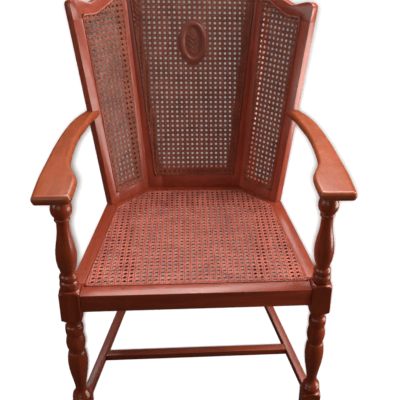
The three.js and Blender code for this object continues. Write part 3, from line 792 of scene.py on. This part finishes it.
def run(weave, outline, lattice, start, step, wave, phase, size):
    """One strand along a line of the lattice: start and step count in columns and rows."""
    a, b, org = lattice
    width, depth = size
    origin = org + a * start[0] + b * start[1]
    direction = a * step[0] + b * step[1]
    for low, high in crossings(outline, origin, direction):
        if high - low < LEAST_RUN:
            continue
        first = math.ceil(low * 2 + RUN_MARGIN)
        last = math.floor(high * 2 - RUN_MARGIN)
        places = [low] + [n / 2 for n in range(first, last + 1)] + [high]
        stations = []
        for along in places:
            p = origin + direction * along
            sway = Vector((random.uniform(-SWAY, SWAY), random.uniform(-SWAY, SWAY)))
            stations.append((p + sway, CANE_MIDDLE + wave(along, phase)))
        weave.strand(stations, width * random.uniform(*WIDTH_CHANGE), depth)


def straight(along, phase):
    """Height of an upright or level strand, which is woven with the pairs that cross it."""
    return STRAIGHT_WAVE * math.cos(math.pi * (along - 0.5 + phase))


def slanting(along, phase):
    """Height of a slanting strand, which passes over one pair and under the next."""
    return SLANTING_WAVE * math.cos(2 * math.pi * (along + phase))


def cane_panel(node, place, outline, holes, strand, material):
    """Pairs of strands upright and level, and single strands both ways across."""
    lattice = [Vector(v) for v in holes]
    a, b, org = lattice
    width, pair, depth = strand
    size = (width, depth)
    spread_a = pair / a.length
    spread_b = pair / b.length
    inverse = Matrix(((a.x, b.x), (a.y, b.y))).inverted()
    spots = [inverse @ (p - org) for p in outline]
    first = (math.floor(min(s.x for s in spots)) - 1, math.floor(min(s.y for s in spots)) - 1)
    last = (math.ceil(max(s.x for s in spots)) + 1, math.ceil(max(s.y for s in spots)) + 1)
    weave = Weave()
    for i in range(first[0], last[0]):
        for k, spread in enumerate((-spread_a, spread_a)):
            start = (i + 0.5 + spread, 0)
            run(weave, outline, lattice, start, (0, 1), straight, i + k, size)
    for j in range(first[1], last[1]):
        for k, spread in enumerate((-spread_b, spread_b)):
            start = (0, j + 0.5 + spread)
            run(weave, outline, lattice, start, (1, 0), straight, j + k + 1, size)
    columns, rows = last[0] - first[0], last[1] - first[1]
    for k in range(-columns - rows, columns + rows):
        run(weave, outline, lattice, (k + 0.5, 0), (1, 1), slanting, 0, size)
        run(weave, outline, lattice, (k + 0.5, 0), (-1, 1), slanting, 0.5, size)
    obj = make(node + "_weave", weave.verts, weave.faces, place, NEVER_SHARP)
    # The tone of each point carries the painted shade, with some stain, on the strands' lower edges.
    stain = obj.data.attributes.new("stain", "FLOAT", "POINT")
    stain.data.foreach_set("value", weave.stain)
    dress(obj, material, "cane", node)


seat_edge = spline_piece("seat_spline", SEAT)
back_edge = spline_piece("back_spline", BACK)
wing_edges = {hand: spline_piece("wing_spline_" + hand, WINGS[hand]) for hand in WINGS}

cane_panel("seat_cane", SEAT, seat_edge, SEAT_LATTICE, SEAT_STRAND, seat_strands_painted_light)
cane_panel("back_cane", BACK, back_edge, BACK_LATTICE, BACK_STRAND, back_strands)
for hand, holes in (("right", RIGHT_LATTICE), ("left", LEFT_LATTICE)):
    cane_panel("wing_cane_" + hand, WINGS[hand], wing_edges[hand], holes, WING_STRAND, back_strands)


# Medallion: a stepped oval frame round a plain carved leaf spray
def leaf(x, y, root, tip, widest):
    """Height of a leaf between two points, as a share of the relief, with a sunk midrib."""
    axis = tip - root
    length = axis.length
    along = ((x - root.x) * axis.x + (y - root.y) * axis.y) / length ** 2
    across = abs((x - root.x) * axis.y - (y - root.y) * axis.x) / length
    if along <= 0 or along >= 1:
        return 0.0
    edge = widest * math.sin(math.pi * along ** LEAF_POWER)
    if across >= edge:
        return 0.0
    share = across / edge
    least = MIDRIB_HEIGHT_SHARE
    rise = least + (1 - least) * min(share * MIDRIB_STEEPNESS, 1)
    return (1 - share ** 2) ** 0.5 * rise


LEAVES = []
for foot, reach, rise in LEAF_PAIRS:
    for sign in (-1, 1):
        LEAVES.append((Vector((0, foot)), Vector((sign * reach, foot + rise)), LEAF_HALF_WIDTH))
LEAVES.append((Vector((0, TOP_LEAF_FOOT)), Vector((0, TOP_LEAF_TIP)), TOP_LEAF_HALF_WIDTH))


def medallion():
    """An oval frame of even width round a sunk field with the leaf spray."""
    place = BACK @ Matrix.Translation((0, MEDALLION_HEIGHT, CLEARANCE + CANE_THICKNESS + CLEARANCE))
    wide, long, field = MEDALLION_RINGS[-1]
    rows = list(MEDALLION_RINGS)
    for i in range(FIELD_RINGS - 1, 0, -1):
        rows.append((wide * i / FIELD_RINGS, long * i / FIELD_RINGS, field))
    sides = MEDALLION_SIDES
    sections = []
    for half_width, half_length, height in rows:
        inside = half_width < wide * FIELD_SHARE
        section = []
        for j in range(sides):
            angle = 2 * math.pi * j / sides
            x, y, z = half_width * math.cos(angle), half_length * math.sin(angle), height
            if inside:
                z += LEAF_RELIEF * max(leaf(x, y, *shape) for shape in LEAVES)
                if STEM_ENDS[0] < y < STEM_ENDS[1]:
                    z += STEM_HEIGHT * max(0.0, 1 - (abs(x) / STEM_HALF_WIDTH) ** 2)
            section.append((x, y, z))
        sections.append(section)
    verts, walls = rings(sections, False)
    faces = [tuple(reversed(range(sides)))] + walls
    middle = len(verts)
    inmost = middle - sides
    verts.append((0, 0, field + STEM_HEIGHT))
    faces += [(inmost + j, inmost + (j + 1) % sides, middle) for j in range(sides)]
    obj = make("medallion_carved", verts, faces, place, CARVED_SHARP)
    dress(obj, carved, "carved_wood", "medallion")


medallion()


# Floor, light and camera: places and reach in metres, sensor and lens in millimetres, turn in degrees
FLOOR_REACH = 30
FLOOR_LIGHT_PLACE = (-0.0217, -1.3381, 1.1871)
FLOOR_LIGHT_RADIUS = 0.02
FLOOR_LIGHT_POWER = 100
FLOOR_LIGHT_GROWTH = 0.382
DIM_LIGHT = 0.05
DIM_TINT = (1, 0.7, 0.58, 1)
WHITE = (1, 1, 1, 1)
CAMERA_SENSOR = 36
CAMERA_LENS = 57.06673
CAMERA_SHIFT = (-0.1125, -0.05)
CAMERA_PLACE = (-0.0176786, -1.3060883, 1.1770986)
CAMERA_TURN = (63.70164679, -1.67653707, -4.93996071)


def floor():
    mesh = bpy.data.meshes.new("floor")
    far = FLOOR_REACH
    corners = [(-far, -far, 0), (far, -far, 0), (far, far, 0), (-far, far, 0)]
    mesh.from_pydata(corners, [], [(0, 1, 2, 3)])
    obj = bpy.data.objects.new("floor", mesh)
    bpy.context.scene.collection.objects.link(obj)
    material, tree = tree_of("pale_floor")
    shader = tree.nodes["Principled BSDF"]
    coords = add(tree, "TexCoord").outputs["Object"]
    cloud = noise(tree, coords, 3, 3, 0.5)
    base = ramp(tree, cloud, [(0.3, (0.86, 0.86, 0.86, 1)), (0.7, (0.89, 0.89, 0.89, 1))])
    tree.links.new(base, shader.inputs["Base Color"])
    shader.inputs["Roughness"].default_value = 0.85
    obj.data.materials.append(material)
    obj.visible_diffuse = False
    obj.visible_glossy = False


def aimed(name, data, place, target, floor_state):
    """A lamp that lights only the floor, or everything but the floor."""
    obj = bpy.data.objects.new(name, data)
    bpy.context.scene.collection.objects.link(obj)
    obj.location = place
    aim = Vector(target) - Vector(place)
    obj.rotation_euler = aim.to_track_quat("-Z", "Y").to_euler()
    obj.visible_camera = False
    lit = bpy.data.collections.new(name + "_lit")
    lit.objects.link(bpy.data.objects["floor"])
    obj.light_linking.receiver_collection = lit
    lit.collection_objects[0].light_linking.link_state = floor_state


def lamp(name, place, target, size, power, color, floor_state="EXCLUDE"):
    data = bpy.data.lights.new(name, "AREA")
    data.shape = "RECTANGLE"
    data.size, data.size_y = size
    data.energy = power
    data.color = color
    aimed(name, data, place, target, floor_state)


def floor_light():
    """An even light from close to the camera, whose shadow lies behind the chair.

    The strength grows with the distance, which makes up for the flatter angle on the floor.
    """
    data = bpy.data.lights.new("floor_light", "POINT")
    data.energy = FLOOR_LIGHT_POWER
    data.shadow_soft_size = FLOOR_LIGHT_RADIUS
    data.use_nodes = True
    tree = data.node_tree
    reach = add(tree, "LightPath").outputs["Ray Length"]
    growth = add(tree, "Math", {0: reach, 1: FLOOR_LIGHT_GROWTH}, operation="MULTIPLY")
    even = add(tree, "LightFalloff", {"Strength": growth.outputs["Value"]}).outputs["Constant"]
    tree.links.new(even, tree.nodes["Emission"].inputs["Strength"])
    aimed("floor_light", data, FLOOR_LIGHT_PLACE, (0, 0, 0), "INCLUDE")


def world():
    """Dim light all round, with a white backdrop behind the floor."""
    scene = bpy.context.scene
    scene.world = bpy.data.worlds.new("studio")
    scene.world.use_nodes = True
    tree = scene.world.node_tree
    background = tree.nodes["Background"]
    seen = add(tree, "LightPath").outputs["Is Camera Ray"]
    strength = add(tree, "MapRange", {"Value": seen, "To Min": DIM_LIGHT, "To Max": 1.0})
    tint = mix(tree, seen, DIM_TINT, WHITE)
    tree.links.new(tint, background.inputs["Color"])
    tree.links.new(strength.outputs["Result"], background.inputs["Strength"])
    scene.view_settings.view_transform = "Standard"


def camera():
    data = bpy.data.cameras.new("camera")
    data.sensor_width = CAMERA_SENSOR
    data.lens = CAMERA_LENS
    data.shift_x, data.shift_y = CAMERA_SHIFT
    obj = bpy.data.objects.new("camera", data)
    bpy.context.scene.collection.objects.link(obj)
    obj.location = CAMERA_PLACE
    obj.rotation_euler = Euler([math.radians(a) for a in CAMERA_TURN], "XYZ")
    bpy.context.scene.camera = obj


floor()
floor_light()
world()
camera()

# Lamps on everything but the floor: place, target, size, power and colour
lamp("key", (1.5, 0.0, 1.9), (0, 0, 0.5), (1.0, 1.0), 36, (1, 0.9, 0.8))
lamp("low", (1.6, -0.15, 0.4), (0, 0, 0.6), (1.2, 0.8), 20, (1, 0.92, 0.85))
lamp("top", (0.2, 0.85, 2.25), (0, -0.1, 0.4), (1.7, 1.2), 40, (1, 0.94, 0.9))
lamp("window", (0.3, 2.6, 2.95), (0.05, 0, 0.5), (1.4, 1.1), 29, (1, 0.95, 0.94))
lamp("front", (-0.9, -2.4, 1.9), (0, 0, 0.5), (1.6, 1.6), 9, (1, 0.93, 0.85))
lamp("side", (-2.2, -0.7, 1.5), (0, 0.1, 0.6), (1.3, 1.3), 12, (1, 0.92, 0.88))

# A wide lamp on the floor alone, which lightens the chair's shadow
lamp("floor_fill", (0, 0.6, 2.6), (0, 0.6, 0), (2.5, 2.5), 10, (1, 0.78, 0.68), "INCLUDE")
